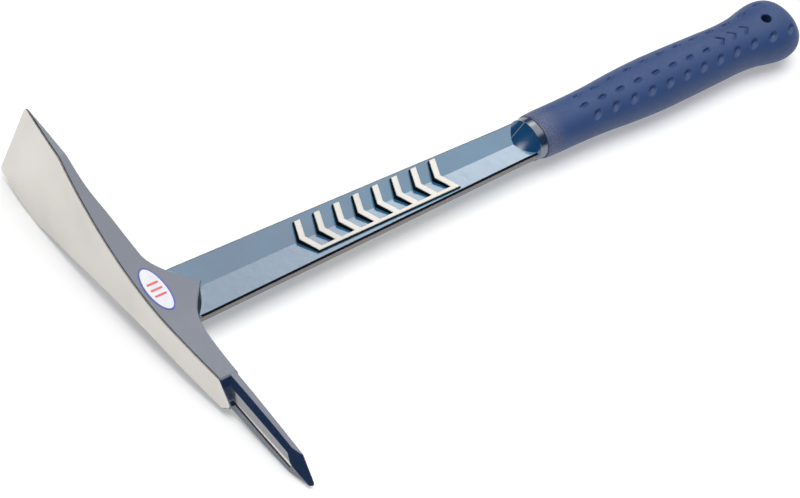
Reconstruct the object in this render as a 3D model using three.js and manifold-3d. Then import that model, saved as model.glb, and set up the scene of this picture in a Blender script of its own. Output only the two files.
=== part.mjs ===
// Rock hammer of the paleo-pick kind, lying on its side: a one-piece steel forging (adze, spike,
// shank and tang), a moulded vinyl grip over the tang, and a thin label on the upper cheek.
// Millimetres, +Z up. In the tool's own frame X runs down the handle from the crown, +Y is the
// adze and -Y is the spike, and Z = 0 is the forging's parting plane.
import * as THREE from 'three';
import { mergeVertices } from 'three/addons/utils/BufferGeometryUtils.js';
import Module from 'manifold-3d';

const wasm = await Module();
wasm.setup();

// ---- driving dimensions ----
const TOOL_LENGTH = 453;
const CROWN_RADIUS = 590;
const ADZE_REACH = 117.5;
const ADZE_WIDTH = 46;
const ADZE_PARALLEL = 33;
const ADZE_EDGE_THICKNESS = 0.8;
const BODY_THICKNESS = 14;
const BODY_DEPTH = 14.5;
const BODY_TAPER_POWER = 1.6;
const SPIKE_REACH = 119.5;
const SPIKE_FRONT = 6.8;
const TIP_START = 106;
const TIP_DROP = 1.8;
const TIP_FACET = [-0.74, -0.28, 0.61];
const SHOULDER_TOP = 52.5;
const SHOULDER_POINT = 65;
const SHOULDER_POINT_DROP = 2.5;
const SHOULDER_BOTTOM = 60;
const CUSP_X = 34.6;
const SHANK_HALF_AT_HEAD = 15.8;
const SHANK_HALF_AT_COLLAR = 11.3;
const SHANK_EDGE_THICKNESS = 5.8;
const VALLEY_DEPTH = 1.2;
const COLLAR_FOOT = 249.5;
const COLLAR_RIM = 259.8;
const COLLAR_HALF_WIDTH = 11.8;
const COLLAR_HALF_HEIGHT = 9.8;
const TANG_START = 264.6;
const GRIP_FRONT = 265;
const TANG_END = 424;
const HANG_HOLE_X = 432.7;
const HANG_HOLE_RADIUS = 2.8;
const GAP = 0.3;
const LABEL_THICKNESS = 0.25;

// The tool leans until it rests on the adze's lower kink, the spike's lower edge and the
// grip's flared butt.
const REST_ROLL_DEG = 5.22;
const REST_PITCH_DEG = 0.17;

// ---- helpers ----
function solid(geometry) {
  geometry.deleteAttribute('normal');
  geometry.deleteAttribute('uv');
  const merged = mergeVertices(geometry, 1e-4);
  return new wasm.Manifold(new wasm.Mesh({
    numProp: 3,
    vertProperties: new Float32Array(merged.attributes.position.array),
    triVerts: new Uint32Array(merged.index.array),
  }));
}

function geometryOf(manifold) {
  const mesh = manifold.getMesh();
  const geometry = new THREE.BufferGeometry();
  geometry.setAttribute('position', new THREE.BufferAttribute(new Float32Array(mesh.vertProperties), 3));
  geometry.setIndex(new THREE.BufferAttribute(new Uint32Array(mesh.triVerts), 1));
  const flat = geometry.toNonIndexed();
  flat.computeVertexNormals();
  return flat;
}

function signedVolume(positions, index) {
  const corner = (i) => new THREE.Vector3().fromArray(positions, 3 * index[i]);
  let sum = 0;
  for (let i = 0; i < index.length; i += 3) {
    sum += corner(i).dot(corner(i + 1).cross(corner(i + 2)));
  }
  return sum / 6;
}

// Skin between rings of equal point count, closed by a fan over each end ring. The rings may
// run either way round: the skin is turned to face outwards.
function loft(rings) {
  const count = rings[0].length;
  const positions = rings.flat().flatMap((p) => [p.x, p.y, p.z]);
  const index = [];
  for (let r = 0; r + 1 < rings.length; r += 1) {
    for (let i = 0; i < count; i += 1) {
      const a = r * count + i;
      const b = r * count + ((i + 1) % count);
      index.push(a, b, b + count, a, b + count, a + count);
    }
  }
  const last = (rings.length - 1) * count;
  for (let i = 1; i + 1 < count; i += 1) {
    index.push(0, i + 1, i, last, last + i, last + i + 1);
  }
  if (signedVolume(positions, index) < 0) index.reverse();
  const geometry = new THREE.BufferGeometry();
  geometry.setAttribute('position', new THREE.Float32BufferAttribute(positions, 3));
  geometry.setIndex(index);
  return solid(geometry);
}

// An outline drawn in X and Y, made into a plate from z = low to z = high.
function plate(points, low, high) {
  const geometry = new THREE.ExtrudeGeometry(new THREE.Shape(points), {
    depth: high - low, bevelEnabled: false, steps: 1,
  });
  geometry.translate(0, 0, low);
  return solid(geometry);
}

const v2 = (x, y) => new THREE.Vector2(x, y);
const crownX = (y) => (y * y) / (2 * CROWN_RADIUS);

function spline(points, divisions) {
  return new THREE.SplineCurve(points.map(([x, y]) => v2(x, y))).getPoints(divisions);
}

// ---- forging ----
const bladeHalf = ADZE_WIDTH / 2;
const bodyHalf = BODY_THICKNESS / 2;
const kinkY = ADZE_REACH - ADZE_PARALLEL;
const taperEndY = -12;

// Half of the head's thickness: full blade width, a kink, then a hollow taper to the body.
function headHalf(y) {
  const share = THREE.MathUtils.clamp((y - taperEndY) / (kinkY - taperEndY), 0, 1);
  return bodyHalf + (bladeHalf - bodyHalf) * share ** BODY_TAPER_POWER;
}

// Head seen along Z: crown arc on one side, on the other the arms' inner faces, which sweep
// out to a cusp on the handle's centre line.
function headOutline() {
  const edgeBack = crownX(ADZE_REACH) + ADZE_EDGE_THICKNESS;
  const adzeInner = spline([
    [edgeBack, ADZE_REACH], [12.2, 104], [11.4, 84], [11.3, 66], [13.3, 48],
    [BODY_DEPTH, 30], [15.6, 21.5], [20.8, 13], [28.5, 5.6], [CUSP_X, 0],
  ], 26);
  const spikeInner = spline([
    [CUSP_X, 0], [28.5, -5.3], [21.2, -13.4], [16.9, -24], [15.2, -38], [14.2, -54], [13.5, -70],
  ], 18);
  const crown = [];
  const crownSteps = 22;
  for (let i = 0; i <= crownSteps; i += 1) {
    const y = THREE.MathUtils.lerp(-70, ADZE_REACH, i / crownSteps);
    crown.push(v2(crownX(y), y));
  }
  return plate([...adzeInner, ...spikeInner.slice(1), ...crown.slice(0, -1)], -30, 30);
}

// Head seen down the handle: the blade's rounded corners, the hollow taper, the parallel body
// and the pointed shoulder that ends the crown.
function headFront() {
  const cornerRadius = 2.6;
  const half = [];
  for (let i = 0; i <= 9; i += 1) {
    const y = THREE.MathUtils.lerp(taperEndY, kinkY, i / 9);
    half.push(v2(headHalf(y), y));
  }
  for (let i = 0; i <= 3; i += 1) {
    const angle = (i / 3) * (Math.PI / 2);
    half.push(v2(
      bladeHalf - cornerRadius * (1 - Math.cos(angle)),
      ADZE_REACH - cornerRadius * (1 - Math.sin(angle)),
    ));
  }
  const mirrored = half.map((p) => v2(-p.x, p.y)).reverse();
  const shoulder = [
    v2(-bodyHalf, -SHOULDER_BOTTOM), v2(-SHOULDER_POINT_DROP, -SHOULDER_POINT),
    v2(bodyHalf, -SHOULDER_TOP),
  ];
  const geometry = new THREE.ExtrudeGeometry(new THREE.Shape([...half, ...mirrored, ...shoulder]), {
    depth: 60, bevelEnabled: false, steps: 1,
  });
  // The outline was drawn in (z, y); turning it about Y lays its depth along X.
  geometry.rotateY(-Math.PI / 2);
  geometry.translate(50, 0, 0);
  return solid(geometry);
}

// One section of the spike: flat cheeks, a broad chamfer over a low parting ridge on the upper
// front, a narrow one on the lower front, and light ones behind.
function spikeRing(y, front, back, half, chamfer, drop = 0) {
  return [
    [front + chamfer * 0.8, half], [front, half - chamfer], [front - 0.12 * half, 0],
    [front, -0.4 * half], [front, -half + 0.2 * chamfer], [front + 0.2 * chamfer, -half],
    [back - chamfer * 0.3, -half], [back, -half + chamfer * 0.4], [back, half - chamfer * 0.4],
    [back - chamfer * 0.3, half],
  ].map(([x, z]) => new THREE.Vector3(x, y, z - drop));
}

// The spike is a four-sided bar whose last part tapers to a point below the parting plane; one
// flat facet, square to TIP_FACET, cuts its upper front from the ridge to the point.
function spike() {
  const rings = [
    spikeRing(-SPIKE_REACH, 9.0, 9.9, 0.4, 0.15, TIP_DROP),
    spikeRing(-118.6, 8.2, 10.3, 1.0, 0.4, TIP_DROP),
    spikeRing(-TIP_START, SPIKE_FRONT - 0.1, 12, 5.6, 2.4),
    spikeRing(-85, SPIKE_FRONT, 12.8, 6.5, 2.8),
    spikeRing(-66, SPIKE_FRONT + 0.2, 13.6, 6.9, 2.9),
    spikeRing(-46, SPIKE_FRONT + 0.4, 14.4, 6.95, 2.9),
  ];
  const facet = new THREE.Vector3(...TIP_FACET).normalize();
  const reach = facet.dot(new THREE.Vector3(9.6, -SPIKE_REACH, -TIP_DROP));
  return loft(rings).trimByPlane([-facet.x, -facet.y, -facet.z], -reach);
}

// Flat shank with a shallow valley down each face between two edge rails.
function shank() {
  const edge = SHANK_EDGE_THICKNESS / 2;
  const ring = (x) => {
    const share = THREE.MathUtils.clamp((x - 30) / (COLLAR_FOOT - 30), 0, 1);
    const half = THREE.MathUtils.lerp(SHANK_HALF_AT_HEAD, SHANK_HALF_AT_COLLAR, share);
    const side = [[half, -edge + 0.6], [half, edge - 0.6], [half - 0.8, edge]];
    const profile = [...side, [0, edge - VALLEY_DEPTH], [-(half - 0.8), edge], [-half, edge - 0.6],
      [-half, -edge + 0.6], [-(half - 0.8), -edge], [0, -edge + VALLEY_DEPTH], [half - 0.8, -edge]];
    return profile.map(([y, z]) => new THREE.Vector3(x, y, z));
  };
  return loft([ring(10), ring(30), ring(140), ring(COLLAR_RIM + 1)]);
}

// Small web that rounds the corner between the shank's edge and an arm's inner face.
function cornerWeb(side) {
  const start = 14;
  const radius = 7;
  const y0 = SHANK_HALF_AT_HEAD - 0.5;
  const points = [v2(start - 3, y0 * side), v2(start + radius + 3, y0 * side)];
  for (let i = 0; i <= 5; i += 1) {
    const angle = (i / 5) * (Math.PI / 2);
    points.push(v2(
      start + radius + 3 - (radius + 1) * Math.sin(angle),
      side * (y0 + 0.5 + radius * (1 - Math.cos(angle))),
    ));
  }
  points.push(v2(start - 3, side * (y0 + radius)));
  const edge = SHANK_EDGE_THICKNESS / 2;
  return plate(side > 0 ? points : points.reverse(), -edge, edge);
}

function ellipseRing(x, halfWidth, halfHeight, sides) {
  const ring = [];
  for (let i = 0; i < sides; i += 1) {
    const angle = (i / sides) * Math.PI * 2;
    ring.push(new THREE.Vector3(x, halfWidth * Math.cos(angle), halfHeight * Math.sin(angle)));
  }
  return ring;
}

// Oval boss that the grip butts against: its front is cut to a flat ramp above and below, which
// rises from the parting plane to the rim.
function collar() {
  const sides = 36;
  const boss = loft([
    ellipseRing(COLLAR_FOOT - 2, COLLAR_HALF_WIDTH, COLLAR_HALF_HEIGHT, sides),
    ellipseRing(TANG_START, COLLAR_HALF_WIDTH, COLLAR_HALF_HEIGHT, sides),
  ]);
  const wedge = plate([
    v2(COLLAR_FOOT - 1, 0), v2(COLLAR_RIM, -COLLAR_HALF_HEIGHT), v2(COLLAR_RIM, -20),
    v2(TANG_START + 5, -20), v2(TANG_START + 5, 20), v2(COLLAR_RIM, 20),
    v2(COLLAR_RIM, COLLAR_HALF_HEIGHT),
  ], -30, 30);
  return boss.intersect(wedge.rotate([90, 0, 0]));
}

function tang(grow) {
  const ring = (x, halfWidth, halfHeight) => [
    [halfWidth, -halfHeight], [halfWidth, halfHeight], [-halfWidth, halfHeight], [-halfWidth, -halfHeight],
  ].map(([y, z]) => new THREE.Vector3(x, y, z));
  return loft([
    ring(TANG_START - 1, 8.5 + grow, 3 + grow),
    ring(TANG_END + grow, 5.5 + grow, 2.5 + grow),
  ]);
}

// Raised row of chevrons joined by a rail on the spike's side, on the shank's upper and lower faces.
const RELIEF_START = 101;
const RELIEF_END = 203;
const RELIEF_HALF = 10.2;
const RELIEF_COUNT = 8;
const RELIEF_STROKE = 4.2;
const RELIEF_SWEEP = 5;
const RELIEF_HEIGHT = 1.2;
const RELIEF_RAIL = 2.2;

function relief() {
  const pitch = (RELIEF_END - RELIEF_START - RELIEF_STROKE - RELIEF_SWEEP) / (RELIEF_COUNT - 1);
  const top = SHANK_EDGE_THICKNESS / 2 + RELIEF_HEIGHT;
  const railFrom = RELIEF_START + RELIEF_SWEEP;
  let marks = plate([
    v2(railFrom, -RELIEF_HALF), v2(RELIEF_END, -RELIEF_HALF),
    v2(RELIEF_END, -RELIEF_HALF + RELIEF_RAIL), v2(railFrom, -RELIEF_HALF + RELIEF_RAIL),
  ], -top, top);
  for (let i = 0; i < RELIEF_COUNT; i += 1) {
    const x = RELIEF_START + i * pitch;
    const chevron = plate([
      v2(x, 0), v2(x + RELIEF_SWEEP, -RELIEF_HALF), v2(x + RELIEF_SWEEP + RELIEF_STROKE, -RELIEF_HALF),
      v2(x + RELIEF_STROKE, 0), v2(x + RELIEF_SWEEP + RELIEF_STROKE, RELIEF_HALF),
      v2(x + RELIEF_SWEEP, RELIEF_HALF),
    ], -top, top);
    marks = marks.add(chevron);
  }
  return marks;
}

function forging() {
  const head = headOutline().intersect(headFront());
  return head.add(spike()).add(shank()).add(cornerWeb(1)).add(cornerWeb(-1))
    .add(relief()).add(collar()).add(tang(0));
}

// ---- grip ----
// Palm swell, waist and flared butt, as [x, half width, half height].
const GRIP_STATIONS = [
  [GRIP_FRONT, 12.1, 10], [268, 12.7, 10.5], [290, 12.9, 10.7], [310, 13.4, 11.1],
  [328, 14.6, 11.9], [350, 15.4, 12.6], [370, 15.2, 12.5], [392, 14.7, 12], [410, 14.3, 11.8],
  [421, 15, 12.3], [430, 16.6, 13.3], [437, 17.6, 14], [442.5, 17.4, 13.8], [447, 16.2, 12.6],
  [450.6, 13.8, 10.2], [TOOL_LENGTH, 9.4, 6],
];

function grip() {
  const sides = 32;
  const body = loft(GRIP_STATIONS.map(([x, w, h]) => ellipseRing(x, w, h, sides)));
  const hole = new THREE.CylinderGeometry(HANG_HOLE_RADIUS, HANG_HOLE_RADIUS, 60, 16);
  hole.rotateX(Math.PI / 2);
  hole.translate(HANG_HOLE_X, 0, 0);
  return body.subtract(tang(GAP)).subtract(solid(hole));
}

// ---- label ----
// Plain oval film on the upper cheek, clear of the lacquer by the working gap.
const LABEL_X = 9.5;
const LABEL_Y = 5;
const LABEL_HALF_WIDTH = 6.5;
const LABEL_HALF_LENGTH = 13;

function label() {
  const sides = 40;
  const ringAt = (lift) => Array.from({ length: sides }, (unused, i) => {
    const angle = (2 * Math.PI * i) / sides;
    const x = LABEL_X + LABEL_HALF_WIDTH * Math.cos(angle);
    const y = LABEL_Y - LABEL_HALF_LENGTH * Math.sin(angle);
    return new THREE.Vector3(x, y, headHalf(y) + GAP + lift);
  });
  return loft([ringAt(0), ringAt(LABEL_THICKNESS)]);
}

// ---- assembly ----
const lacquer = new THREE.MeshStandardMaterial({ color: 0x6d8aa8, roughness: 0.25, metalness: 0.9 });
const vinyl = new THREE.MeshStandardMaterial({ color: 0x31508a, roughness: 0.6, metalness: 0 });
const film = new THREE.MeshStandardMaterial({ color: 0xe8e6ea, roughness: 0.4, metalness: 0 });

function part(name, manifold, material) {
  const mesh = new THREE.Mesh(geometryOf(manifold), material);
  mesh.name = name;
  return mesh;
}

const tool = new THREE.Group();
tool.add(part('forging', forging(), lacquer));
tool.add(part('grip', grip(), vinyl));
tool.add(part('cheek_label', label(), film));
tool.rotation.set(
  THREE.MathUtils.degToRad(REST_ROLL_DEG), THREE.MathUtils.degToRad(REST_PITCH_DEG), 0,
);

// The origin is on the ground under the middle of the tool's box.
const rockHammer = new THREE.Group();
rockHammer.add(tool);
rockHammer.updateMatrixWorld(true);
const box = new THREE.Box3().setFromObject(tool, true);
const middle = box.getCenter(new THREE.Vector3());
tool.position.set(-middle.x, -middle.y, -box.min.z);

export default rockHammer;
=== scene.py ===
"""Rock hammer: a lacquered one-piece steel forging, a dimpled vinyl grip and a plain label.

Shapes are made in millimetres in the tool's own frame (X down the handle from the crown, +Y the
adze, -Y the spike, Z = 0 the parting plane) and then laid down in the row frame in metres.
"""
import math
import bmesh
import bpy
import numpy as np
from mathutils import Matrix, Vector


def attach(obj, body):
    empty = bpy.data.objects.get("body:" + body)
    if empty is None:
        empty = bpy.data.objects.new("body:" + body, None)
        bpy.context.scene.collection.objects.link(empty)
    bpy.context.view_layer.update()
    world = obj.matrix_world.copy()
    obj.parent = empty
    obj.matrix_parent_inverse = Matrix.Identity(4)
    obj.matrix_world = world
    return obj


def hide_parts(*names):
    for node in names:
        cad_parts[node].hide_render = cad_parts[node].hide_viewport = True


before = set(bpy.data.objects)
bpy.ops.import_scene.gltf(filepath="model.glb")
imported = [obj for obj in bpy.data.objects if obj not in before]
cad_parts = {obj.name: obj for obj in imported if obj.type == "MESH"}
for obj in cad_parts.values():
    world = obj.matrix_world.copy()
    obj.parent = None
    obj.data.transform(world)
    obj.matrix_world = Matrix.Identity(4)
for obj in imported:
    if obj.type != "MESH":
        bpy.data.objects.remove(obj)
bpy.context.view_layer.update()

# ---- driving dimensions, the CAD source's own, in millimetres ----
TOOL_LENGTH = 453
CROWN_RADIUS = 590
ADZE_REACH = 117.5
ADZE_WIDTH = 46
ADZE_PARALLEL = 33
ADZE_EDGE_THICKNESS = 0.8
BODY_THICKNESS = 14
BODY_DEPTH = 14.5
BODY_TAPER_POWER = 1.6
SPIKE_REACH = 119.5
SPIKE_FRONT = 6.8
TIP_START = 106
TIP_FACET = (-0.74, -0.28, 0.61)
TIP_DROP = 1.8
SHOULDER_TOP = 52.5
SHOULDER_POINT = 65
SHOULDER_POINT_DROP = 2.5
SHOULDER_BOTTOM = 60
CUSP_X = 34.6
SHANK_HALF_AT_HEAD = 15.8
SHANK_HALF_AT_COLLAR = 11.3
SHANK_EDGE_THICKNESS = 5.8
VALLEY_DEPTH = 1.2
COLLAR_FOOT = 249.5
COLLAR_RIM = 259.8
COLLAR_HALF_WIDTH = 11.8
COLLAR_HALF_HEIGHT = 9.8
TANG_START = 264.6
GRIP_FRONT = 265
TANG_END = 424
HANG_HOLE_X = 432.7
HANG_HOLE_RADIUS = 2.8
GAP = 0.3

# ---- how the tool lies in the row frame ----
REST_ROLL = math.radians(5.22)
REST_PITCH = math.radians(0.17)
REST_PLACE = Vector((-226.49825, -0.00101, 15.2776))
REST_TURN = Matrix.Rotation(REST_ROLL, 4, "X") @ Matrix.Rotation(REST_PITCH, 4, "Y")
TO_ROW = Matrix.Scale(0.001, 4) @ Matrix.Translation(REST_PLACE) @ REST_TURN


# ---- mesh helpers ----
def catmull(points, steps):
    """Points of the uniform Catmull-Rom curve through 2-D points."""
    pts = np.array(points, float)
    spans = len(pts) - 1
    out = []
    for k in range(steps + 1):
        t = k * spans / steps
        i = min(int(t), spans - 1)
        u = t - i
        p0, p1 = pts[max(i - 1, 0)], pts[i]
        p2, p3 = pts[i + 1], pts[min(i + 2, spans)]
        v0, v1 = (p2 - p0) / 2, (p3 - p1) / 2
        out.append(
            (2 * p1 - 2 * p2 + v0 + v1) * u ** 3
            + (-3 * p1 + 3 * p2 - 2 * v0 - v1) * u ** 2 + v0 * u + p1
        )
    return np.array(out)


def new_object(name, verts, faces, materials=(), face_materials=None):
    """Object of one mesh, its doubled points merged and its faces turned outwards."""
    mesh = bpy.data.meshes.new(name)
    mesh.from_pydata([tuple(map(float, v)) for v in verts], [], faces)
    for material in materials:
        mesh.materials.append(material)
    if face_materials is not None:
        mesh.polygons.foreach_set("material_index", face_materials)
    bm = bmesh.new()
    bm.from_mesh(mesh)
    bmesh.ops.remove_doubles(bm, verts=bm.verts, dist=1e-4)
    bmesh.ops.recalc_face_normals(bm, faces=bm.faces)
    bm.to_mesh(mesh)
    bm.free()
    obj = bpy.data.objects.new(name, mesh)
    bpy.context.scene.collection.objects.link(obj)
    return obj


def loft(name, rings, materials, pick=None, caps=(True, True), cap_material=0):
    """Closed skin over rings of equal point count; pick(ring, point) gives a face's material."""
    count = len(rings[0])
    verts = [p for ring in rings for p in ring]
    faces, marks = [], []
    for r in range(len(rings) - 1):
        for i in range(count):
            j = (i + 1) % count
            a = r * count
            faces.append((a + i, a + j, a + count + j, a + count + i))
            marks.append(pick(r, i) if pick else 0)
    for end, start in zip(caps, (0, (len(rings) - 1) * count)):
        if end:
            faces.append(tuple(range(start, start + count)))
            marks.append(cap_material)
    return new_object(name, verts, faces, materials, marks)


def bake_modifiers(obj):
    """Replaces the object's mesh by its evaluated one and drops the modifiers."""
    dg = bpy.context.evaluated_depsgraph_get()
    mesh = bpy.data.meshes.new_from_object(obj.evaluated_get(dg), preserve_all_data_layers=True,
                                           depsgraph=dg)
    obj.modifiers.clear()
    old = obj.data
    obj.data = mesh
    bpy.data.meshes.remove(old)


def combine(obj, other, operation="UNION"):
    """Merges other into obj, or cuts it out, and removes other."""
    mod = obj.modifiers.new("combine", "BOOLEAN")
    mod.operation = operation
    mod.solver = "MANIFOLD"
    mod.object = other
    bake_modifiers(obj)
    mesh = other.data
    bpy.data.objects.remove(other)
    bpy.data.meshes.remove(mesh)


def settle(obj, body, node, sharp_deg):
    """Lays a finished piece in the row frame, smooths it and ties it to its body."""
    obj.data.transform(TO_ROW)
    mesh = obj.data
    mesh.polygons.foreach_set("use_smooth", [True] * len(mesh.polygons))
    mesh.set_sharp_from_angle(angle=math.radians(sharp_deg))
    mod = obj.modifiers.new("normals", "WEIGHTED_NORMAL")
    mod.mode = "FACE_AREA"
    mod.keep_sharp = True
    bake_modifiers(obj)
    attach(obj, body)
    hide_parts(node)


def boundary_loops(quads):
    """Directed boundary edges of a set of counter-clockwise 2-D faces."""
    seen = set()
    for quad in quads:
        for k in range(len(quad)):
            seen.add((quad[k], quad[(k + 1) % len(quad)]))
    return [(a, b) for a, b in seen if (b, a) not in seen]


def layered_plate(name, points, faces, layers, materials, cap_mark, side_marks):
    """Plate made of 2-D faces, its edge stepping through layers of (z, outward offset). Its two
    flat sides are marked cap_mark and each band of its edge has a mark in side_marks."""
    pts = np.array(points, float)
    edges = boundary_loops(faces)
    normal = {}
    for a, b in edges:
        d = pts[b] - pts[a]
        n = np.array([d[1], -d[0]]) / np.hypot(*d)
        normal.setdefault(a, []).append(n)
        normal.setdefault(b, []).append(n)
    shift = {}
    sharpest = 0.3
    for v, ns in normal.items():
        n1, n2 = ns[0], ns[-1]
        shift[v] = (n1 + n2) / max(1 + float(n1 @ n2), sharpest)
    count = len(pts)
    verts = []
    for z, out in layers:
        for i, p in enumerate(pts):
            q = p + shift[i] * out if i in shift else p
            verts.append((q[0], q[1], z))
    last = (len(layers) - 1) * count
    made = [tuple(reversed(f)) for f in faces]
    marks = [cap_mark] * len(faces)
    made += [tuple(last + i for i in f) for f in faces]
    marks += [cap_mark] * len(faces)
    for layer in range(len(layers) - 1):
        low, high = layer * count, (layer + 1) * count
        for a, b in edges:
            made.append((low + a, low + b, high + b, high + a))
            marks.append(side_marks[layer])
    return new_object(name, verts, made, materials, marks)


# ---- materials ----
class Nodes:
    """Small builder for one material's node tree."""

    def __init__(self, name):
        self.material = bpy.data.materials.new(name)
        self.material.use_nodes = True
        self.tree = self.material.node_tree
        self.shader = self.tree.nodes["Principled BSDF"]
        self.place = self.tree.nodes.new("ShaderNodeTexCoord").outputs["Object"]

    def link(self, source, target):
        self.tree.links.new(source, target)

    def noise(self, scale, detail=3.0, roughness=0.55, stretch=(1, 1, 1)):
        mapping = self.tree.nodes.new("ShaderNodeMapping")
        mapping.inputs["Scale"].default_value = stretch
        self.link(self.place, mapping.inputs["Vector"])
        node = self.tree.nodes.new("ShaderNodeTexNoise")
        node.inputs["Scale"].default_value = scale
        node.inputs["Detail"].default_value = detail
        node.inputs["Roughness"].default_value = roughness
        self.link(mapping.outputs["Vector"], node.inputs["Vector"])
        return node.outputs["Fac"]

    def span(self, source, low, high, out_low, out_high, kind="LINEAR"):
        node = self.tree.nodes.new("ShaderNodeMapRange")
        node.interpolation_type = kind
        for name, value in (("From Min", low), ("From Max", high), ("To Min", out_low),
                            ("To Max", out_high)):
            node.inputs[name].default_value = value
        self.link(source, node.inputs["Value"])
        return node.outputs["Result"]

    def mix(self, factor, first, second):
        node = self.tree.nodes.new("ShaderNodeMix")
        node.data_type = "RGBA"
        if isinstance(factor, float):
            node.inputs["Factor"].default_value = factor
        else:
            self.link(factor, node.inputs["Factor"])
        for socket, value in ((node.inputs["A"], first), (node.inputs["B"], second)):
            if isinstance(value, tuple):
                socket.default_value = (*value, 1)
            else:
                self.link(value, socket)
        return node.outputs["Result"]

    def bump(self, height, strength, distance, after=None):
        node = self.tree.nodes.new("ShaderNodeBump")
        node.inputs["Strength"].default_value = strength
        node.inputs["Distance"].default_value = distance
        self.link(height, node.inputs["Height"])
        if after is not None:
            self.link(after, node.inputs["Normal"])
        return node.outputs["Normal"]

    def axis(self, name):
        node = self.tree.nodes.new("ShaderNodeSeparateXYZ")
        self.link(self.place, node.inputs["Vector"])
        return node.outputs[name]

    def set(self, **values):
        for name, value in values.items():
            self.shader.inputs[name.replace("_", " ")].default_value = value


def lacquer_material(name, ends, ior, gloss, span):
    """Blue candy lacquer over blasted steel: mirror-like, deep where it faces the dark. ends is a
    (deep, pale) pair of colours at each end of span, a stretch of the handle's length."""
    m = Nodes(name)
    cloud = m.span(m.noise(38, 4, 0.6), 0.35, 0.7, 0, 1, "SMOOTHSTEP")
    along = m.span(m.axis("X"), row_x(span[0]), row_x(span[1]), 0, 1, "SMOOTHSTEP")
    base = m.mix(along, m.mix(cloud, *ends[0]), m.mix(cloud, *ends[1]))
    flecks = m.span(m.noise(1700, 2, 0.5), 0.55, 0.75, 0, 0.4, "SMOOTHSTEP")
    m.link(m.mix(flecks, base, m.mix(0.5, base, (0.03, 0.2, 0.4))), m.shader.inputs["Base Color"])
    m.link(m.span(m.noise(700, 3), 0.3, 0.7, gloss, gloss + 0.07), m.shader.inputs["Roughness"])
    ripple = m.bump(m.noise(160, 2), 0.1, 0.0004)
    m.link(m.bump(m.noise(2200, 2), 0.06, 0.0002, ripple), m.shader.inputs["Normal"])
    m.set(IOR=ior)
    return m.material


def dark_material(name, colour, worn, ior, rough):
    """Near-black lacquer that paints shade on edges, walls and crevices, or bare scale: almost
    without colour, only softly glossy.
    """
    m = Nodes(name)
    m.link(m.mix(m.span(m.noise(420, 4, 0.6), 0.35, 0.7, 0, 1), colour, worn),
           m.shader.inputs["Base Color"])
    m.link(m.span(m.noise(700, 3), 0.3, 0.7, rough, rough + 0.1), m.shader.inputs["Roughness"])
    m.link(m.bump(m.noise(1400, 3), 0.1, 0.0002), m.shader.inputs["Normal"])
    m.set(IOR=ior)
    return m.material


def ground_material(name, colour, worn, rough, stretch):
    """Belt-ground bare steel, finely lined along one direction."""
    m = Nodes(name)
    lines = m.noise(900, 4, 0.7, stretch)
    cloud = m.noise(24, 3)
    m.link(m.mix(m.span(cloud, 0.3, 0.75, 0, 1, "SMOOTHSTEP"), colour, worn),
           m.shader.inputs["Base Color"])
    m.link(m.span(lines, 0.25, 0.75, rough - 0.05, rough + 0.07), m.shader.inputs["Roughness"])
    m.link(m.bump(lines, 0.08, 0.0001), m.shader.inputs["Normal"])
    m.set(Metallic=1.0)
    return m.material


def vinyl_material():
    """Moulded blue vinyl, matt, a little bloomed and dusty behind the front lip."""
    m = Nodes("moulded_vinyl")
    cloud = m.noise(30, 4, 0.6)
    base = m.mix(m.span(cloud, 0.3, 0.7, 0, 1, "SMOOTHSTEP"), (0.015, 0.05, 0.165),
                 (0.02, 0.058, 0.185))
    lip = m.span(m.axis("X"), *GRIP_BLOOM, 1, 0, "SMOOTHSTEP")
    grain = m.span(m.noise(1500, 3, 0.7), 0.42, 0.68, 0.12, 1.0)
    mask = m.tree.nodes.new("ShaderNodeMath")
    mask.operation = "MULTIPLY"
    m.link(lip, mask.inputs[0])
    m.link(grain, mask.inputs[1])
    m.link(m.mix(mask.outputs["Value"], base, (0.17, 0.17, 0.24)), m.shader.inputs["Base Color"])
    m.link(m.span(m.noise(420, 3), 0.3, 0.7, 0.5, 0.62), m.shader.inputs["Roughness"])
    m.link(m.bump(m.noise(1300, 3, 0.6), 0.12, 0.0003), m.shader.inputs["Normal"])
    m.set(Specular_IOR_Level=0.5, Sheen_Weight=0.08, Sheen_Roughness=0.4)
    return m.material


def ink_material(name, colour, faded):
    """Printed ink under a thin clear coat, a little faded in patches."""
    m = Nodes(name)
    m.link(m.mix(m.span(m.noise(260, 4, 0.6), 0.35, 0.7, 0, 1), colour, faded),
           m.shader.inputs["Base Color"])
    m.link(m.span(m.noise(900, 2), 0.3, 0.7, 0.3, 0.42), m.shader.inputs["Roughness"])
    m.link(m.bump(m.noise(1800, 2), 0.06, 0.0001), m.shader.inputs["Normal"])
    m.set(Coat_Weight=0.4, Coat_Roughness=0.12)
    return m.material


def row_x(x):
    """Row-frame X in metres of a place along the handle."""
    return (TO_ROW @ Vector((x, 0, 0))).x


GRIP_BLOOM = (row_x(GRIP_FRONT + 2), row_x(GRIP_FRONT + 16))
HEAD_SPAN = (0, 100)
SHANK_SPAN = (60, 240)
LACQUER = lacquer_material("head_lacquer", (((0.006, 0.022, 0.07), (0.012, 0.03, 0.085)),) * 2,
                           2.55, 0.14, HEAD_SPAN)
GROUND = ground_material("ground_steel", (0.7, 0.675, 0.64), (0.64, 0.62, 0.59), 0.4, (1, 1, 6))
POLISH = ground_material("relief_steel", (0.6, 0.58, 0.54), (0.52, 0.505, 0.48), 0.45, (1, 8, 1))
# Painted shade: a near-black, barely reflecting lacquer laid on edge strips, chamfers, crevices and
# walls so that they read dark.
PAINTED_SHADE = dark_material("painted_shade_lacquer", (0.002, 0.003, 0.006), (0.004, 0.006, 0.012), 1.25, 0.3)
BLUE = lacquer_material("shank_lacquer", (((0.003, 0.08, 0.18), (0.005, 0.1, 0.21)),
                                          ((0.003, 0.115, 0.24), (0.005, 0.14, 0.27))),
                        2.3, 0.13, SHANK_SPAN)
SCALE = dark_material("forging_scale", (0.075, 0.062, 0.06), (0.11, 0.092, 0.088), 2.0, 0.35)
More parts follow.
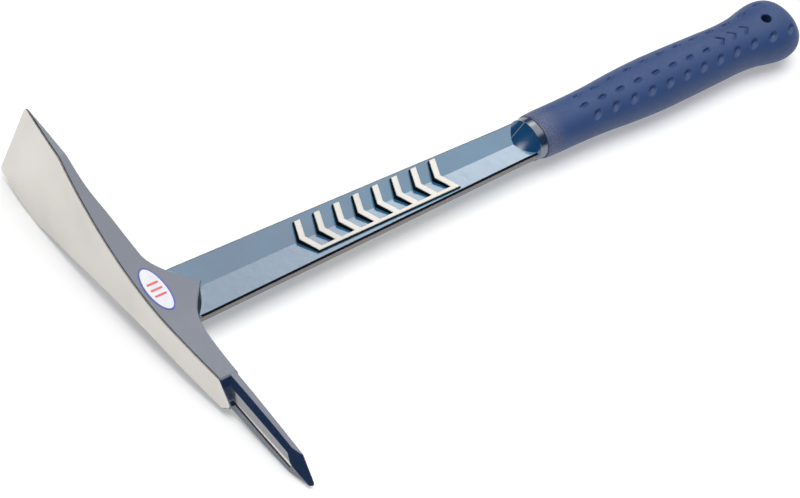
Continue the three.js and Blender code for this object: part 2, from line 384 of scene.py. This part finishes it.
# Painted light: a paler, greyer and more reflective copy of the head lacquer that makes the spike's
# lit upper-front facet lighter.
LIT_LACQUER = lacquer_material("painted_lit_lacquer", (((0.02, 0.035, 0.06), (0.03, 0.04, 0.07)),) * 2, 3.3,
                        0.2, HEAD_SPAN)
DEEP = lacquer_material("collar_lacquer", (((0.002, 0.06, 0.17), (0.003, 0.045, 0.14)),) * 2, 2.1,
                        0.13, HEAD_SPAN)
VINYL = vinyl_material()
INK_RED = ink_material("ink_red", (0.72, 0.10, 0.09), (0.78, 0.16, 0.13))
INK_WHITE = ink_material("ink_white", (0.82, 0.82, 0.86), (0.74, 0.75, 0.8))
INK_BLUE = ink_material("ink_blue", (0.05, 0.07, 0.4), (0.09, 0.1, 0.46))
STEEL = (LACQUER, GROUND, POLISH, PAINTED_SHADE, BLUE, SCALE, LIT_LACQUER, DEEP)
IS_LACQUER, IS_GROUND, IS_POLISH, IS_PAINTED_SHADE, IS_BLUE, IS_SCALE, IS_LIT_LACQUER, IS_DEEP = range(8)


# ---- forging: head ----
BLADE_HALF = ADZE_WIDTH / 2
BODY_HALF = BODY_THICKNESS / 2
KINK_Y = ADZE_REACH - ADZE_PARALLEL
TAPER_END_Y = -12
BLADE_CORNER = 2.6
EDGE_CHAMFER = 0.45
# Width of the black strip of painted shade along each cheek beside the crown's chamfer.
SHADE_LINE_WIDTH = 0.55
CUSP_DRAFT = 4.9
CUSP_REACH = 17
CUSP_FULLNESS = 0.6
SHOULDER_START = -38
SHOULDER_SHARES = (0, 0.15, 0.3, 0.45, 0.6, 0.75, 0.88, 0.965)
CORNER_ROWS = 7
# A section's points run up the crown, along the upper cheek, down the inner face and back.
CROWN_POINTS = 9
CHEEK_POINTS = 6
INNER_START = CROWN_POINTS + 1 + CHEEK_POINTS
INNER_END = INNER_START + CROWN_POINTS - 1


def crown_x(y):
    """X of the crown, a shallow arc over the whole head."""
    return y * y / (2 * CROWN_RADIUS)


def head_half(y):
    """Half thickness of the head, which flares from the body to the adze."""
    share = min(max((y - TAPER_END_Y) / (KINK_Y - TAPER_END_Y), 0), 1)
    return BODY_HALF + (BLADE_HALF - BODY_HALF) * share ** BODY_TAPER_POWER


def blade_half(y):
    """Head half thickness with the blade's rounded corners."""
    drop = y - (ADZE_REACH - BLADE_CORNER)
    if drop <= 0:
        return head_half(y)
    return BLADE_HALF - BLADE_CORNER + math.sqrt(max(BLADE_CORNER ** 2 - drop ** 2, 0))


def cusp_draft(y):
    """How far the cusp's wall leans out at the shank's level."""
    share = abs(y) / CUSP_REACH
    return CUSP_DRAFT * math.sin(math.pi * share) ** CUSP_FULLNESS if 0 < share < 1 else 0.0


def head_ring(y, inner, shrink=0.0, end_share=None):
    """Section across one arm, with chamfered corners. end_share slants it to the shoulder.
    inner(y) is the inner face's X."""
    half = blade_half(y) - shrink
    front = crown_x(y) + shrink
    back = inner(y) - shrink
    cut = min(EDGE_CHAMFER, 0.3 * (back - front))
    # A strip of painted shade on the cheek, next to the crown's chamfer.
    shade_line = min(SHADE_LINE_WIDTH, 0.25 * (back - front))
    face = np.linspace(-half + cut, half - cut, CROWN_POINTS)
    cheek = np.linspace(front + cut + shade_line, back - cut, CHEEK_POINTS)
    rise = (inner(y + 0.2) - inner(y - 0.2)) / 0.4
    lean = cusp_draft(y) / math.hypot(1, rise)
    ring = [(front, z) for z in face]
    ring += [(front + cut, half)] + [(x, half) for x in cheek]
    ring += [(back, z) for z in face[::-1]]
    ring += [(x, -half) for x in cheek[::-1]] + [(front + cut, -half)]
    placed = []
    for x, z in ring:
        at = y
        if end_share is not None:
            at = y + end_share * (shoulder_y(z) - y)
        share = (x - front) / (back - front)
        shift = (1 - share) * (crown_x(at) - crown_x(y)) + share * (inner(at) - inner(y))
        drift = lean * (1 - abs(z) / half) if x == back and abs(z) < half else 0.0
        placed.append((x + shift + drift, at - drift * rise, z))
    return placed


def shoulder_y(z):
    """The slanted wall that ends the crown on the spike side."""
    return float(np.interp(z, (-BODY_HALF, -SHOULDER_POINT_DROP, BODY_HALF),
                           (-SHOULDER_BOTTOM, -SHOULDER_POINT, -SHOULDER_TOP)))


def head():
    """Adze, eye with its cusp, and the body as far as the slanted shoulder."""
    edge_back = crown_x(ADZE_REACH) + ADZE_EDGE_THICKNESS
    adze = catmull([
        (edge_back, ADZE_REACH), (12.2, 104), (11.4, 84), (11.3, 66), (13.3, 48),
        (BODY_DEPTH, 30), (15.6, 21.5), (20.8, 13), (28.5, 5.6), (CUSP_X, 0),
    ], 120)
    spike_side = catmull([
        (CUSP_X, 0), (28.5, -5.3), (21.2, -13.4), (16.9, -24), (15.2, -38), (14.2, -54), (13.6, -66),
    ], 66)

    def inner(y):
        if y >= 0:
            return float(np.interp(y, adze[::-1, 1], adze[::-1, 0]))
        return float(np.interp(y, spike_side[::-1, 1], spike_side[::-1, 0]))

    ys = [ADZE_REACH - BLADE_CORNER * (1 - math.cos(math.pi / 2 * k / CORNER_ROWS))
          for k in range(CORNER_ROWS)]
    ys += [y for x, y in adze if y < ADZE_REACH - BLADE_CORNER]
    ys += [y for x, y in spike_side[1:] if y > SHOULDER_START]
    rings = [head_ring(y, inner) for y in ys]
    for share in SHOULDER_SHARES:
        rings.append(head_ring(SHOULDER_START, inner, 0, share))
    rings.append(head_ring(SHOULDER_START, inner, 0.35, 1.0))
    count = len(rings[0])

    def pick(ring, point):
        if ring >= len(rings) - 2:
            return IS_LACQUER
        if point < CROWN_POINTS or point == count - 1:
            return IS_GROUND
        # Painted shade: the cusp's inner walls, and a thin cheek strip beside each crown chamfer,
        # are black.
        on_cusp = INNER_START <= point < INNER_END and ring < len(ys) and abs(ys[ring]) < CUSP_REACH
        return IS_PAINTED_SHADE if on_cusp or point in (CROWN_POINTS, count - 2) else IS_LACQUER

    return loft("head", rings, STEEL, pick)


# ---- forging: spike ----
def spike_ring(y, front, back, half, cut, worn, drop=0.0):
    """Flat cheeks, a broad upper-front chamfer, a bare steel strip down the ridge and light chamfers
    behind.
    """
    # worn sets the half width of the bare steel strip down the ridge.
    ridge = front - 0.12 * half
    under = 0.25 * half
    return [(x, y, z - drop) for x, z in (
        (front + cut * 0.8, half), (front, half - cut), (ridge, worn), (ridge, -worn),
        (ridge + 0.3 * (front - ridge), -worn - under), (front, -worn - 0.4 * half),
        (front, -half + 0.2 * cut), (front + 0.2 * cut, -half),
        (back - cut * 0.3, -half), (back, -half + cut * 0.4), (back, half - cut * 0.4),
        (back - cut * 0.3, half),
    )]


def spike():
    """Four-sided bar with a bare steel strip down its ridge; one flat facet cuts its upper front to
    the point.
    """
    facet_x = 9.6
    stations = (
        (-SPIKE_REACH, 9.0, 9.9, 0.4, 0.15, 0.02, TIP_DROP),
        (-118.6, 8.2, 10.3, 1.0, 0.4, 0.03, TIP_DROP),
        (-TIP_START, SPIKE_FRONT - 0.1, 12, 5.6, 2.4, 0.8),
        (-85, SPIKE_FRONT, 12.8, 6.5, 2.8, 0.5), (-66, SPIKE_FRONT + 0.2, 13.6, 6.9, 2.9, 0.2),
        (-46, SPIKE_FRONT + 0.4, 14.4, 6.95, 2.9, 0.1),
    )
    tip_rings = 2
    # Painted shade: faces 3, 8 and 10 are black. Painted light: face 1 is the paler lacquer copy.
    # Face 2 is bare steel down the ridge.
    marks = {1: IS_LIT_LACQUER, 2: IS_GROUND, 3: IS_PAINTED_SHADE, 8: IS_PAINTED_SHADE, 10: IS_PAINTED_SHADE}

    def pick(ring, point):
        return marks.get(point, IS_LACQUER) if ring >= tip_rings else IS_LACQUER

    obj = loft("spike", [spike_ring(*s) for s in stations], STEEL, pick)
    bm = bmesh.new()
    bm.from_mesh(obj.data)
    bmesh.ops.bisect_plane(bm, geom=bm.verts[:] + bm.edges[:] + bm.faces[:], clear_outer=True,
                           plane_co=(facet_x, -SPIKE_REACH, -TIP_DROP), plane_no=TIP_FACET)
    cut = bmesh.ops.holes_fill(bm, edges=[e for e in bm.edges if e.is_boundary])
    for face in cut["faces"]:
        face.material_index = IS_LACQUER
    bmesh.ops.recalc_face_normals(bm, faces=bm.faces)
    bm.to_mesh(obj.data)
    bm.free()
    return obj


# ---- forging: shank ----
SHANK_TAPER_START = 30
SHANK_PLACES = (10, SHANK_TAPER_START, 100, 170, COLLAR_FOOT, COLLAR_RIM + 1)
RAIL_CHAMFER = 0.9
RAIL_FLAT = 0.5
WEB_START = 14
WEB_RADIUS = 7
WEB_OVERLAP = 3
WEB_ROWS = 12
WEB_CUT = 0.6


def shank():
    """Flat bar with a shallow valley down each face, chamfered crests and scaly edges."""
    edge = SHANK_EDGE_THICKNESS / 2

    def ring(x):
        share = (x - SHANK_TAPER_START) / (COLLAR_FOOT - SHANK_TAPER_START)
        share = min(max(share, 0), 1)
        half = SHANK_HALF_AT_HEAD + (SHANK_HALF_AT_COLLAR - SHANK_HALF_AT_HEAD) * share
        shoulder = half - RAIL_CHAMFER
        upper = [(half, edge - RAIL_CHAMFER), (shoulder, edge), (shoulder - RAIL_FLAT, edge - 0.02),
                 (0, edge - VALLEY_DEPTH)]
        profile = upper + [(-y, z) for y, z in upper[-2::-1]]
        profile += [(y, -z) for y, z in profile[::-1]]
        return [(x, y, z) for y, z in profile]

    # The chamfers along the crests are black painted shade; the edge faces are scale.
    marks = {0: IS_PAINTED_SHADE, 5: IS_PAINTED_SHADE, 7: IS_PAINTED_SHADE, 12: IS_PAINTED_SHADE, 6: IS_SCALE, 13: IS_SCALE}
    return loft("shank", [ring(x) for x in SHANK_PLACES], STEEL,
                lambda ring, point: marks.get(point, IS_BLUE))


def corner_web(side):
    """Small web that rounds the corner between the shank's edge and an arm's inner face."""
    edge = SHANK_EDGE_THICKNESS / 2
    near, far = WEB_START - WEB_OVERLAP, WEB_START + WEB_RADIUS + WEB_OVERLAP
    y0 = SHANK_HALF_AT_HEAD - 0.5
    points = [(near, y0), (far, y0)]
    for i in range(WEB_ROWS + 1):
        angle = i / WEB_ROWS * math.pi / 2
        points.append((far - (WEB_RADIUS + 1) * math.sin(angle),
                       y0 + 0.5 + WEB_RADIUS * (1 - math.cos(angle))))
    points.append((near, y0 + WEB_RADIUS))
    points = [(x, y * side) for x, y in points]
    if side < 0:
        points.reverse()
    layers = ((-edge, -WEB_CUT), (-edge + WEB_CUT, 0), (edge - WEB_CUT, 0), (edge, -WEB_CUT))
    # The web's edge chamfers are black painted shade.
    sides = (IS_PAINTED_SHADE, IS_SCALE, IS_PAINTED_SHADE)
    return layered_plate("web", points, [tuple(range(len(points)))], layers, STEEL, IS_BLUE, sides)


# ---- forging: collar ----
CREASE_AT_FOOT = 3.2
CREASE_AT_RIM = 5.0
CREASE_HIGHLIGHT_WIDTH = 0.56
SCOOP = 0.2
RAMP_SLOPE = math.radians(41)
RAMP_ROWS = 22
COLLAR_AROUND = 128
COLLAR_FOOT_Z = 0.6
RIM_CUT = 0.35


def close_foot(obj, ring):
    """Closes the collar's folded foot by a strip from its upper half ring to its lower one."""
    bm = bmesh.new()
    bm.from_mesh(obj.data)
    lookup = {tuple(round(c, 3) for c in v.co): v for v in bm.verts}
    found = [lookup[tuple(round(c, 3) for c in p)] for p in ring]
    half = len(ring) // 2
    upper, lower = found[:half], found[half:][::-1]
    for k in range(half - 1):
        bm.faces.new((upper[k], upper[k + 1], lower[k + 1], lower[k]))
    bmesh.ops.recalc_face_normals(bm, faces=bm.faces)
    bm.to_mesh(obj.data)
    bm.free()


def collar():
    """Oval boss: two scooped ramps, parted by an off-centre crease, rise to its rim."""
    def ramp_point(angle, v):
        y = COLLAR_HALF_WIDTH * math.cos(angle)
        z_rim = COLLAR_HALF_HEIGHT * math.sin(angle)
        side = 1 if z_rim >= 0 else -1
        low = COLLAR_FOOT_Z * abs(math.sin(angle))
        start = COLLAR_RIM - (abs(z_rim) - low) / math.tan(RAMP_SLOPE) - 0.15
        x = start + (COLLAR_RIM - start) * v
        z = low + (abs(z_rim) - low) * (0.95 * v + 0.05 * v ** 3)
        side_reach = COLLAR_HALF_WIDTH - CREASE_AT_RIM * (1 if y > CREASE_AT_RIM else -1)
        away = abs(y - CREASE_AT_RIM) / side_reach
        y -= (1 - v) * (CREASE_AT_RIM - CREASE_AT_FOOT) * (1 - away ** 2)
        hollow = math.sin(math.pi * v) * math.sin(math.pi * min(away, 1) ** 0.62)
        z -= SCOOP * hollow * min(1, max(abs(z_rim) - 1.5, 0) / 4)
        return x, y, side * z

    angles = [2 * math.pi * (i + 0.5) / COLLAR_AROUND for i in range(COLLAR_AROUND)]
    rings = [[ramp_point(a, v / RAMP_ROWS) for a in angles] for v in range(RAMP_ROWS + 1)]
    for x, shrink in ((COLLAR_RIM + RIM_CUT, -RIM_CUT * 0.8), (GRIP_FRONT - 1.2, -0.35),
                      (TANG_START, -0.4)):
        rings.append([
            (x, (COLLAR_HALF_WIDTH - shrink - RIM_CUT) * math.cos(a),
             (COLLAR_HALF_HEIGHT - shrink - RIM_CUT) * math.sin(a)) for a in angles
        ])

    def pick(ring, point):
        """Lacquer on the band, and a bare steel strip down the crease of each ramp that paints a
        highlight there.
        """
        if ring >= RAMP_ROWS:
            return IS_LACQUER
        middle = COLLAR_HALF_WIDTH * math.cos(2 * math.pi * (point + 1) / COLLAR_AROUND)
        # Painted highlight: the bare steel strip along the crease.
        return IS_POLISH if abs(middle - CREASE_AT_RIM) < CREASE_HIGHLIGHT_WIDTH / 2 else IS_DEEP

    obj = loft("collar", rings, STEEL, pick, (False, True), IS_LACQUER)
    close_foot(obj, rings[0])
    return obj


TANG_HALF_AT_START = (8.5, 3)
TANG_HALF_AT_END = (5.5, 2.5)


def tang(grow):
    """Tapering bar inside the grip, grown all round when it is used to cut the bore."""
    def ring(x, half):
        width, height = half[0] + grow, half[1] + grow
        return [(x, width, -height), (x, width, height), (x, -width, height), (x, -width, -height)]
    return loft("tang", [ring(TANG_START - 1, TANG_HALF_AT_START),
                         ring(TANG_END + grow, TANG_HALF_AT_END)], STEEL)


# ---- forging: relief ----
RELIEF_START = 101
RELIEF_END = 203
RELIEF_HALF = 10.2
RELIEF_COUNT = 8
RELIEF_STROKE = 4.2
RELIEF_SWEEP = 5
RELIEF_HEIGHT = 1.2
RELIEF_RAIL = 2.2
RELIEF_DRAFT = 0.9
RELIEF_CUT = 0.25


def relief():
    """Raised chevrons, joined by one rail on the spike side, on both faces of the shank."""
    pitch = (RELIEF_END - RELIEF_START - RELIEF_STROKE - RELIEF_SWEEP) / (RELIEF_COUNT - 1)
    inner = RELIEF_HALF - RELIEF_RAIL
    lean = RELIEF_SWEEP * inner / RELIEF_HALF
    points, index, faces = [], {}, []

    def at(x, y):
        key = (round(x, 4), round(y, 4))
        if key not in index:
            index[key] = len(points)
            points.append(key)
        return index[key]

    for i in range(RELIEF_COUNT):
        x = RELIEF_START + i * pitch
        for side in (-1, 1):
            arm = [at(x, 0), at(x + lean, side * inner), at(x + lean + RELIEF_STROKE, side * inner),
                   at(x + RELIEF_STROKE, 0)]
            foot = [at(x + lean, side * inner), at(x + RELIEF_SWEEP, side * RELIEF_HALF),
                    at(x + RELIEF_SWEEP + RELIEF_STROKE, side * RELIEF_HALF),
                    at(x + lean + RELIEF_STROKE, side * inner)]
            faces += [arm, foot]
            if side < 0 and i + 1 < RELIEF_COUNT:
                nxt = x + pitch
                faces.append([at(x + lean + RELIEF_STROKE, side * inner),
                              at(x + RELIEF_SWEEP + RELIEF_STROKE, side * RELIEF_HALF),
                              at(nxt + RELIEF_SWEEP, side * RELIEF_HALF),
                              at(nxt + lean, side * inner)])
    turned = []
    for face in faces:
        xy = [points[i] for i in face]
        area = sum(a[0] * b[1] - b[0] * a[1] for a, b in zip(xy, xy[1:] + xy[:1]))
        turned.append(tuple(face if area > 0 else face[::-1]))
    top = SHANK_EDGE_THICKNESS / 2 + RELIEF_HEIGHT
    layers = ((-top, -RELIEF_CUT), (-top + RELIEF_CUT, 0), (0, RELIEF_DRAFT),
              (top - RELIEF_CUT, 0), (top, -RELIEF_CUT))
    # The relief's draft walls are black painted shade; its chamfers at top and bottom are bare
    # steel.
    sides = (IS_POLISH, IS_PAINTED_SHADE, IS_PAINTED_SHADE, IS_POLISH)
    return layered_plate("relief", points, turned, layers, STEEL, IS_POLISH, sides)


def forging():
    """The one-piece steel forging, from the adze's edge to the end of the tang."""
    obj = head()
    obj.name = "steel_forging"
    for part in (spike(), shank(), corner_web(1), corner_web(-1), collar(), relief(), tang(0)):
        combine(obj, part)
    settle(obj, "root", "forging", 8)


# ---- grip ----
# Palm swell, waist and flared butt, as (x, half width, half height).
GRIP_STATIONS = (
    (GRIP_FRONT, 12.1, 10), (266, 12.5, 10.35), (268, 12.7, 10.5), (290, 12.9, 10.7),
    (310, 13.4, 11.1), (328, 14.6, 11.9), (350, 15.4, 12.6), (370, 15.2, 12.5), (392, 14.7, 12),
    (410, 14.3, 11.8), (421, 15, 12.3), (430, 16.6, 13.3), (437, 17.6, 13.92), (442.5, 17.4, 13.75),
    (447, 16.2, 12.6), (450.6, 13.8, 10.2), (452.3, 11.6, 8), (TOOL_LENGTH, 8.4, 5.2),
)
GRIP_AROUND = 232
GRIP_STEP = 0.42
BUTT_START = 444
BUTT_ROWS = 34
DIMPLE_FULLNESS = 0.6
DIMPLE_TILT = 0.45
MARK_PLACES = (399, 408, 417)
MARK_HALF = 3.1
MARK_SWEEP = 3.2
MARK_STROKE = 0.78
MARK_DEPTH = 0.9
LIP_WIDTH = 1.3
LIP_DEPTH = 0.8
HOLE_TURNS = 64


def grip_sizes(x):
    """Half width and half height of the grip at each x, smoothly through the stations."""
    data = np.array(GRIP_STATIONS, float)
    xs = data[:, 0]
    out = []
    for column in (1, 2):
        ys = data[:, column]
        slope = np.diff(ys) / np.diff(xs)
        tangent = np.concatenate(([slope[0]], (slope[:-1] + slope[1:]) / 2, [slope[-1]]))
        i = np.clip(np.searchsorted(xs, x, side="right") - 1, 0, len(xs) - 2)
        h = xs[i + 1] - xs[i]
        t = (x - xs[i]) / h
        out.append(ys[i] * (2 * t ** 3 - 3 * t ** 2 + 1) + h * tangent[i] * (t ** 3 - 2 * t ** 2 + t)
                   + ys[i + 1] * (3 * t ** 2 - 2 * t ** 3) + h * tangent[i + 1] * (t ** 3 - t ** 2))
    return out


def dimple_rows():
    """Dimples of one face: (x, share of the half width, half length, half width, lean, depth)."""
    found = []
    for i in range(8):
        found.append((296.9 + 12.73 * i, -0.08 - 0.009 * i, 3.1, 1.35, 0.7, 1.3))
    for i in range(12):
        found.append((301.3 + 12.85 * i, -0.61, 2.7, 2.5, 0.6, 1.5))
    for i in range(12):
        found.append((298.1 + 12.58 * i, 0.47 + 0.014 * i, 3.3, 1.2, 0.5, 1.25))
    return found


def dimple_depth(x, angle, width, height):
    """How deep the dimples of both faces cut at each point of the grip's grid."""
    depth = np.zeros_like(x)
    step = np.hypot(width * np.sin(angle), height * np.cos(angle))
    for cx, share, along, across, lean, deep in dimple_rows():
        for face in (1, -1):
            middle = math.acos(share) * face
            turn = (angle - middle + math.pi) % (2 * math.pi) - math.pi
            b = -turn * step * face / across
            a = (x - cx - lean * b * across) / along
            r = a * a + b * b
            pit = np.clip(1 - r, 0, None)
            depth = np.maximum(depth, deep * pit ** DIMPLE_FULLNESS * (1 + DIMPLE_TILT * b))
    return depth


def mark_depth(x, y):
    """Three recessed chevrons ahead of the hang hole, and the hole's rounded lip."""
    depth = np.zeros_like(x)
    off = np.abs(y)
    for cx in MARK_PLACES:
        line = cx - MARK_SWEEP / 2 + MARK_SWEEP * (1 - off / MARK_HALF)
        near = np.abs(x - line) * 0.7
        inside = np.clip((MARK_HALF - off) * 2, 0, 1)
        cutting = np.clip((MARK_STROKE - near) / 0.3, 0, 1) * inside
        depth = np.maximum(depth, MARK_DEPTH * cutting)
    ring = np.hypot(x - HANG_HOLE_X, y)
    lip = np.clip(1 - (ring - HANG_HOLE_RADIUS + 0.3) / LIP_WIDTH, 0, 1)
    return np.maximum(depth, LIP_DEPTH * lip ** 2)


def grip():
    """Oval vinyl sleeve, its surface pressed in by the dimples and marks, bored for the tang."""
    xs = np.concatenate((
        [GRIP_FRONT], np.arange(GRIP_FRONT + 0.3, BUTT_START, GRIP_STEP),
        BUTT_START + (TOOL_LENGTH - BUTT_START) * np.sin(np.linspace(0, 1, BUTT_ROWS) * math.pi / 2),
    ))
    xs[-1] = TOOL_LENGTH
    width, height = (size[:, None] for size in grip_sizes(xs))
    angle = (2 * math.pi * np.arange(GRIP_AROUND) / GRIP_AROUND)[None]
    x = np.repeat(xs[:, None], GRIP_AROUND, 1)
    y = width * np.cos(angle)
    z = height * np.sin(angle)
    normal_y = np.cos(angle) / width
    normal_z = np.sin(angle) / height
    length = np.hypot(normal_y, normal_z)
    normal_y, normal_z = normal_y / length, normal_z / length
    depth = np.maximum(dimple_depth(x, angle, width, height), mark_depth(x, y))
    y = y - depth * normal_y
    z = z - depth * normal_z
    verts = np.stack((x, y, z), -1).reshape(-1, 3).tolist()
    last = (len(xs) - 1) * GRIP_AROUND
    faces = []
    for a in range(0, last, GRIP_AROUND):
        for i in range(GRIP_AROUND):
            j = (i + 1) % GRIP_AROUND
            faces.append((a + i, a + j, a + GRIP_AROUND + j, a + GRIP_AROUND + i))
    for start, rim_x in ((0, GRIP_FRONT), (last, TOOL_LENGTH)):
        verts.append((rim_x, 0, 0))
        hub = len(verts) - 1
        faces += [(hub, start + i, start + (i + 1) % GRIP_AROUND) for i in range(GRIP_AROUND)]
    obj = new_object("vinyl_grip", verts, faces, (VINYL,))
    combine(obj, tang(GAP), "DIFFERENCE")
    hole = [[(HANG_HOLE_X + HANG_HOLE_RADIUS * math.cos(2 * math.pi * i / HOLE_TURNS),
              HANG_HOLE_RADIUS * math.sin(2 * math.pi * i / HOLE_TURNS), z)
             for i in range(HOLE_TURNS)] for z in (-30, 30)]
    combine(obj, loft("hole", hole, (VINYL,)), "DIFFERENCE")
    settle(obj, "root", "grip", 50)


# ---- label ----
FILM_STEP = 1.2
LABEL_X = 9.5
LABEL_Y = 5
LABEL_HALF_WIDTH = 6.5
LABEL_HALF_LENGTH = 13
LABEL_BORDER = 0.9
OVAL_SIDES = 96
BAR_HALF_LENGTH = 3.6
BAR_HALF_WIDTH = 0.6
BAR_PLACES = (-3.5, 0, 3.5)


def film_piece(outline, low, high, material):
    """A thin printed shape that follows the upper cheek, from low to high above it."""
    bm = bmesh.new()
    corners = [bm.verts.new((float(x), float(y), 0)) for x, y in outline]
    bm.faces.new(corners)
    ys = [y for _, y in outline]
    y = min(ys) + FILM_STEP
    while y < max(ys):
        bmesh.ops.bisect_plane(bm, geom=bm.verts[:] + bm.edges[:] + bm.faces[:],
                               plane_co=(0, y, 0), plane_no=(0, 1, 0))
        y += FILM_STEP
    bmesh.ops.triangulate(bm, faces=bm.faces)
    bmesh.ops.recalc_face_normals(bm, faces=bm.faces)
    bm.verts.index_update()
    flat = [(v.co.x, v.co.y) for v in bm.verts]
    faces = [tuple(v.index for v in f.verts) for f in bm.faces]
    up = sum((flat[f[1]][0] - flat[f[0]][0]) * (flat[f[2]][1] - flat[f[0]][1])
             - (flat[f[2]][0] - flat[f[0]][0]) * (flat[f[1]][1] - flat[f[0]][1]) for f in faces)
    if up < 0:
        faces = [f[::-1] for f in faces]
    bm.free()
    count = len(flat)
    verts = [(x, y, head_half(y) + low) for x, y in flat]
    verts += [(x, y, head_half(y) + high) for x, y in flat]
    made = [f[::-1] for f in faces] + [tuple(count + i for i in f) for f in faces]
    made += [(a, b, count + b, count + a) for a, b in boundary_loops(faces)]
    return new_object("film", verts, made, (material,))


def oval(inset):
    """The label's outline, drawn in by inset."""
    turns = [2 * math.pi * k / OVAL_SIDES for k in range(OVAL_SIDES)]
    return [(LABEL_X + (LABEL_HALF_WIDTH - inset) * math.cos(a),
             LABEL_Y + (LABEL_HALF_LENGTH - inset) * math.sin(a)) for a in turns]


def bar(middle):
    """One plain bar across the label, at a distance from its centre."""
    x, y = BAR_HALF_LENGTH, LABEL_Y + middle
    return [(LABEL_X - x, y - BAR_HALF_WIDTH), (LABEL_X + x, y - BAR_HALF_WIDTH),
            (LABEL_X + x, y + BAR_HALF_WIDTH), (LABEL_X - x, y + BAR_HALF_WIDTH)]


def join(name, parts):
    """One object from several, each keeping its own material."""
    bm = bmesh.new()
    materials = []
    for part in parts:
        material = part.data.materials[0]
        if material not in materials:
            materials.append(material)
        part.data.polygons.foreach_set(
            "material_index", [materials.index(material)] * len(part.data.polygons))
        bm.from_mesh(part.data)
        mesh = part.data
        bpy.data.objects.remove(part)
        bpy.data.meshes.remove(mesh)
    mesh = bpy.data.meshes.new(name)
    bm.to_mesh(mesh)
    bm.free()
    for material in materials:
        mesh.materials.append(material)
    obj = bpy.data.objects.new(name, mesh)
    bpy.context.scene.collection.objects.link(obj)
    return obj


def label():
    """Plain generic label: a white oval with a blue border and three equal bars."""
    # Each print: outline, ink, and how far its under and upper sides are above the cheek.
    stack = [(oval(0), INK_BLUE, 0.03, 0.09), (oval(LABEL_BORDER), INK_WHITE, 0.1, 0.15)]
    stack += [(bar(middle), INK_RED, 0.16, 0.2) for middle in BAR_PLACES]
    parts = [film_piece(outline, low, high, ink) for outline, ink, low, high in stack]
    obj = join("cheek_badge", parts)
    settle(obj, "root", "cheek_label", 40)


# ---- floor ----
FLOOR_HALF = 6.0


def floor():
    """Plain white sheet, faintly lit from inside like a light table."""
    half = FLOOR_HALF
    obj = new_object("floor", [(-half, -half, 0), (half, -half, 0), (half, half, 0),
                               (-half, half, 0)], [(0, 1, 2, 3)])
    m = Nodes("floor_white")
    m.link(m.mix(m.noise(3, 2), (0.68, 0.68, 0.68), (0.7, 0.7, 0.7)), m.shader.inputs["Base Color"])
    m.set(Roughness=0.9, Specular_IOR_Level=0.1, Emission_Color=(1, 1, 1, 1), Emission_Strength=0.34)
    obj.data.materials.append(m.material)


# ---- light ----
# Each patch: direction in the tool's frame, half angles where it is full and gone, radiance.
PATCHES = (
    ((0.62, 0.30, 0.725), 22, 36, 1.25),
    ((0.72, 0.48, 0.50), 5, 11.5, 2.6),
    ((-0.12, 0.1, 0.985), 16, 30, 4.8),
)
SURROUND = 0.03
HORIZON_FULL_DEG = 3
HORIZON_GONE_DEG = 12


def studio():
    """A soft room: dim surround, a bright horizon, one key overhead and two cards behind."""
    world = bpy.data.worlds.new("studio")
    bpy.context.scene.world = world
    world.use_nodes = True
    tree = world.node_tree
    tree.nodes.clear()
    direction = tree.nodes.new("ShaderNodeTexCoord").outputs["Generated"]
    turn = REST_TURN.to_3x3()

    def math_node(operation, a, b):
        node = tree.nodes.new("ShaderNodeMath")
        node.operation = operation
        for socket, value in zip(node.inputs, (a, b)):
            if isinstance(value, (int, float)):
                socket.default_value = value
            else:
                tree.links.new(value, socket)
        return node.outputs["Value"]

    total = None
    for aim, full, gone, radiance in PATCHES:
        dot = tree.nodes.new("ShaderNodeVectorMath")
        dot.operation = "DOT_PRODUCT"
        tree.links.new(direction, dot.inputs[0])
        dot.inputs[1].default_value = (turn @ Vector(aim).normalized())
        fall = tree.nodes.new("ShaderNodeMapRange")
        fall.interpolation_type = "SMOOTHSTEP"
        fall.inputs["From Min"].default_value = math.cos(math.radians(gone))
        fall.inputs["From Max"].default_value = math.cos(math.radians(full))
        tree.links.new(dot.outputs["Value"], fall.inputs["Value"])
        lit = math_node("MULTIPLY", fall.outputs["Result"], radiance)
        total = lit if total is None else math_node("ADD", total, lit)
    rise = tree.nodes.new("ShaderNodeSeparateXYZ")
    tree.links.new(direction, rise.inputs["Vector"])
    sweep = tree.nodes.new("ShaderNodeMapRange")
    sweep.interpolation_type = "SMOOTHSTEP"
    sweep.inputs["From Min"].default_value = math.sin(math.radians(HORIZON_GONE_DEG))
    sweep.inputs["From Max"].default_value = math.sin(math.radians(HORIZON_FULL_DEG))
    tree.links.new(rise.outputs["Z"], sweep.inputs["Value"])
    total = math_node("ADD", total, sweep.outputs["Result"])
    total = math_node("ADD", total, SURROUND)
    background = tree.nodes.new("ShaderNodeBackground")
    background.inputs["Color"].default_value = (1, 1, 1, 1)
    tree.links.new(total, background.inputs["Strength"])
    output = tree.nodes.new("ShaderNodeOutputWorld")
    tree.links.new(background.outputs["Background"], output.inputs["Surface"])


# ---- camera ----
# Place in millimetres, line of sight and upward direction, all in the tool's frame.
CAMERA_PLACE = (-1689.97, -1096.07, 2073.27)
CAMERA_AHEAD = (0.618935, 0.360248, -0.697954)
CAMERA_UP = (0.328985, 0.688005, 0.646852)
CAMERA_LENS = 272.47


def camera():
    """Long-lens three-quarter view from the crown side, above and in front of the tool."""
    data = bpy.data.cameras.new("camera")
    data.sensor_width = 36
    data.lens = CAMERA_LENS
    data.clip_start, data.clip_end = 0.05, 50
    obj = bpy.data.objects.new("camera", data)
    bpy.context.scene.collection.objects.link(obj)
    place = TO_ROW @ Vector(CAMERA_PLACE)
    ahead = Vector(CAMERA_AHEAD).normalized()
    right = ahead.cross(Vector(CAMERA_UP)).normalized()
    up = right.cross(ahead)
    turn = REST_TURN.to_3x3() @ Matrix((right, up, -ahead)).transposed()
    obj.matrix_world = Matrix.Translation(place) @ turn.to_4x4()
    bpy.context.scene.camera = obj


forging()
grip()
label()
floor()
studio()
camera()
bpy.context.scene.view_settings.view_transform = "Standard"
